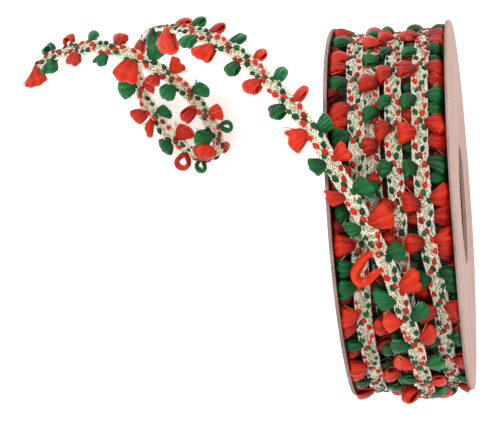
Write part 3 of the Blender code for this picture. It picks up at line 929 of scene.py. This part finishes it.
# ============================================================ card pieces
def turned(name, outline, steps, materials, slots, shape=None):
    """A closed (x, radius) outline in mm turned about the reel's axis."""
    n = len(outline)
    angle = 2 * np.pi * np.arange(steps) / steps
    x = np.array([p[0] for p in outline])
    r = np.array([p[1] for p in outline])
    points = np.stack(
        [
            np.broadcast_to(x[None, :], (steps, n)),
            np.sin(angle)[:, None] * r[None, :],
            np.cos(angle)[:, None] * r[None, :],
        ],
        axis=-1,
    ).copy()
    if shape is not None:
        points = shape(points, angle[:, None], r[None, :])
    points[..., 2] += AXIS_Z
    i, j = np.meshgrid(np.arange(steps), np.arange(n), indexing="ij")
    a = i * n + j
    b = i * n + (j + 1) % n
    c = ((i + 1) % steps) * n
    quads = np.stack([a, b, c + (j + 1) % n, c + j], axis=-1).reshape(-1, 4)
    flat = points.reshape(-1, 3)
    p = flat[quads] - np.array([0.0, 0.0, AXIS_Z])
    volume = np.einsum("ij,ij->i", p[:, 0], np.cross(p[:, 1], p[:, 2])).sum()
    if volume < 0:
        quads = quads[:, ::-1]
    mesh = bpy.data.meshes.new(name)
    mesh.from_pydata((flat * MM).tolist(), [], quads.tolist())
    index = np.tile(np.array(slots, dtype=np.int32), steps)
    mesh.polygons.foreach_set("material_index", index)
    for mat in materials:
        mesh.materials.append(mat)
    mesh.shade_smooth()
    mesh.set_sharp_from_angle(angle=math.radians(35))
    mesh.update()
    obj = bpy.data.objects.new(name, mesh)
    bpy.context.scene.collection.objects.link(obj)
    return obj


def flange(name, inner, outer, cards, seed):
    """A punched card disc: slightly bowed, its edge scuffed and a little dented."""
    way = 1.0 if outer > inner else -1.0
    rng = np.random.default_rng(seed)
    bumps = [(rng.uniform(0, 2 * np.pi), rng.uniform(0.05, 0.2), rng.uniform(0.05, 0.16)) for _ in range(14)]
    rows, slots = [], []
    radii = [HUB_R + 0.15, HUB_R + 0.8, 22.0, 30.0, 38.0, 44.0, 48.5, FLANGE_R - 0.22]
    for r in radii:
        rows.append((inner, r))
    rows[0] = (inner + way * 0.12, HUB_R)
    edge = FLANGE_R
    rows += [(inner + way * 0.18, edge - 0.04), (inner + way * 0.45, edge), (inner + way * 0.6, edge - 0.05),
             (inner + way * 0.75, edge), (outer - way * 0.18, edge - 0.04)]
    for r in radii[::-1]:
        rows.append((outer, r))
    rows[-1] = (outer - way * 0.12, HUB_R)
    n_face = len(radii)
    # the cut edge is grey card nearer the winding and like the face further out; on the left flange the whole cut
    # edge is grey, as painted shade
    dark_edge_rows = 3 if way > 0 else 6
    # slot 2, the inner face, carries painted shade
    slots = [2] * (n_face - 1) + [1] * dark_edge_rows + [0] * (n_face + 5 - dark_edge_rows) + [1]

    def shape(points, angle, r):
        share = np.clip((r - 30.0) / 20.0, 0.0, 1.0) ** 2
        wave = 0.10 * np.sin(2 * angle + seed) + 0.06 * np.sin(5 * angle + 2 * seed)
        points[..., 0] += share * wave
        dent = np.zeros_like(angle)
        for where, width, deep in bumps:
            gap = np.angle(np.exp(1j * (angle - where)))
            dent = dent + deep * np.exp(-(gap / width) ** 2)
        scale = 1.0 - dent * np.clip((r - 47.0) / 3.0, 0.0, 1.0) / FLANGE_R
        points[..., 1] *= scale
        points[..., 2] *= scale
        points[..., 2] = np.maximum(points[..., 2], -AXIS_Z)
        return points

    return turned(name, rows, 288, cards, slots, shape)


# ============================================================ scene
def build():
    # each yarn: a painted shade colour, its own colour, then lighter and pale painted highlight colours
    red = yarn("red_yarn", (0.17, 0.002, 0.001), (0.60, 0.018, 0.001), (0.86, 0.052, 0.004), (0.96, 0.30, 0.16), 0.62)
    green = yarn("green_yarn", (0.001, 0.022, 0.006), (0.002, 0.104, 0.020), (0.008, 0.235, 0.056),
                 (0.20, 0.48, 0.34), 0.88)
    cream, glitter, dull = thread_cream(), thread_glitter(), thread_dull_gold()
    face_card = card("card_face", (0.38, 0.25, 0.205), (0.485, 0.325, 0.273), (0.56, 0.39, 0.336))
    cut_card = card("card_edge", (0.13, 0.09, 0.075), (0.30, 0.21, 0.185), (0.47, 0.35, 0.31), 1500.0, 0.0001)
    # the flanges' inner faces are dark red-brown: painted shade beside the winding
    shaded_inner_card = card("card_inside_painted_shade", (0.05, 0.013, 0.010), (0.08, 0.022, 0.018), (0.13, 0.045, 0.035))
    # the core is painted far lighter than the flange card: painted light inside the tube, which lies in shade
    lit_core_card = card("core_card", (0.66, 0.50, 0.42), (0.84, 0.66, 0.57), (0.92, 0.75, 0.66))

    half = INNER_WIDTH / 2
    left = flange("flange_left_card", -half, -half - FLANGE_T + 0.25, (face_card, cut_card, shaded_inner_card), 3)
    right = flange("flange_right_card", half, half + FLANGE_T, (face_card, cut_card, shaded_inner_card), 8)
    core = turned("core_roll", [(-half + 0.3, HUB_R + 0.02), (-half + 0.3, HUB_R + 1.5), (half - 0.3, HUB_R + 1.5),
                                (half - 0.3, HUB_R + 0.02), (5.0, HUB_R), (-5.0, HUB_R)], 128, (lit_core_card,), [0] * 6)
    under_outline = [(-half + 0.3, 18.0)]
    for x in np.linspace(-half + 0.3, half - 0.3, 25):
        under_outline.append((float(x), 44.1 + 0.35 * math.cos(x * 1.5)))
    under_outline.append((half - 0.3, 18.0))
    under = turned("turns_beneath", under_outline, 160, (under_turns(),), [0] * len(under_outline))

    loose = loose_course()
    squeeze = make_squeeze(loose)
    pieces = {}

    soup = Soup()
    braid(soup, loose, 0.0, loose.length, start=2.0)
    pieces["braid"] = soup.write("loose_braid", (cream, glitter, dull))
    soup = Soup()
    stitches(soup, loose, 0.0, loose.length, start=2.0, flip_after=240.0, scale=1.12)
    pieces["stitches"] = soup.write("loose_stitches", (red, green))
    soups = {"r": Soup(), "g": Soup()}
    loose_tufts(loose, soups)
    pieces["red"] = soups["r"].write("loose_tufts_red", (red,))
    pieces["green"] = soups["g"].write("loose_tufts_green", (green,))

    wound = [under]
    for which in range(4):
        course = turn_course(which)
        soup = Soup()
        braid(soup, course, course.s[0], course.s[-1], fine=1.25, both=False)
        wound.append(soup.write(f"turn_{which + 1}_braid", (cream, glitter, dull)))
        soup = Soup()
        stitches(soup, course, course.s[0], course.s[-1], both=False)
        wound.append(soup.write(f"turn_{which + 1}_stitches", (red, green)))
    soups = {"r": Soup(), "g": Soup()}
    winding_tufts(soups, squeeze)
    wound.append(soups["r"].write("winding_tufts_red", (red,)))
    wound.append(soups["g"].write("winding_tufts_green", (green,)))

    for obj in [left, right, core, *wound, *pieces.values()]:
        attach(obj, "root")
    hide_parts("flange_left")
    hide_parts("flange_right")
    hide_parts("core_tube")
    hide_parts("winding")
    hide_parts("loose_end")


def surroundings():
    mat, tree, bsdf = nodes_of("floor_white")
    place = add(tree, "ShaderNodeTexCoord")
    noise = add(tree, "ShaderNodeTexNoise", in_Scale=3.0)
    tree.links.new(place.outputs["Object"], noise.inputs["Vector"])
    colours = ramp(tree, noise.outputs["Fac"], [(0.3, (0.93, 0.93, 0.93)), (0.7, (0.95, 0.95, 0.95))])
    tree.links.new(colours.outputs["Color"], bsdf.inputs["Base Color"])
    bsdf.inputs["Roughness"].default_value = 0.9
    bsdf.inputs["Specular IOR Level"].default_value = 0.1
    bsdf.inputs["Emission Color"].default_value = (1.0, 1.0, 1.0, 1.0)
    bsdf.inputs["Emission Strength"].default_value = 0.42
    mesh = bpy.data.meshes.new("floor")
    w = 3.0
    mesh.from_pydata([(-w, -w, 0), (w, -w, 0), (w, w, 0), (-w, w, 0)], [], [(0, 1, 2, 3)])
    mesh.materials.append(mat)
    floor = bpy.data.objects.new("floor", mesh)
    bpy.context.scene.collection.objects.link(floor)

    world = bpy.data.worlds.new("studio")
    world.use_nodes = True
    back = world.node_tree.nodes["Background"]
    back.inputs["Color"].default_value = (1.0, 1.0, 1.0, 1.0)
    back.inputs["Strength"].default_value = 0.62
    bpy.context.scene.world = world

    def lamp(name, where, size, power):
        data = bpy.data.lights.new(name, "AREA")
        data.shape = "DISK"
        data.size = size
        data.energy = power
        obj = bpy.data.objects.new(name, data)
        obj.location = where
        aim = (Matrix.Translation((0, 0, 0.05)).translation - obj.location)
        obj.rotation_euler = aim.to_track_quat("-Z", "Y").to_euler()
        bpy.context.scene.collection.objects.link(obj)

    lamp("key", (-0.45, 0.50, 1.0), 0.32, 6.0)
    lamp("fill", (0.75, 0.15, 0.9), 0.45, 3.6)
    lamp("front", (-0.2, -0.8, 0.8), 0.45, 2.8)
    bpy.context.scene.view_settings.view_transform = "Standard"


def camera():
    data = bpy.data.cameras.new("camera")
    data.sensor_fit = "HORIZONTAL"
    data.sensor_width = 36.0
    data.lens = 36.0 * 2211.0 / 500.0
    data.clip_start = 0.02
    data.clip_end = 20.0
    obj = bpy.data.objects.new("camera", data)
    tilt = Matrix.Rotation(math.radians(7.90), 4, "Y")
    roll = Matrix.Rotation(math.radians(-3.66), 4, "Z")
    obj.matrix_world = Matrix.Translation((0.0412, 0.0018, 0.650)) @ tilt @ roll
    bpy.context.scene.collection.objects.link(obj)
    bpy.context.scene.camera = obj


camera()
surroundings()
build()
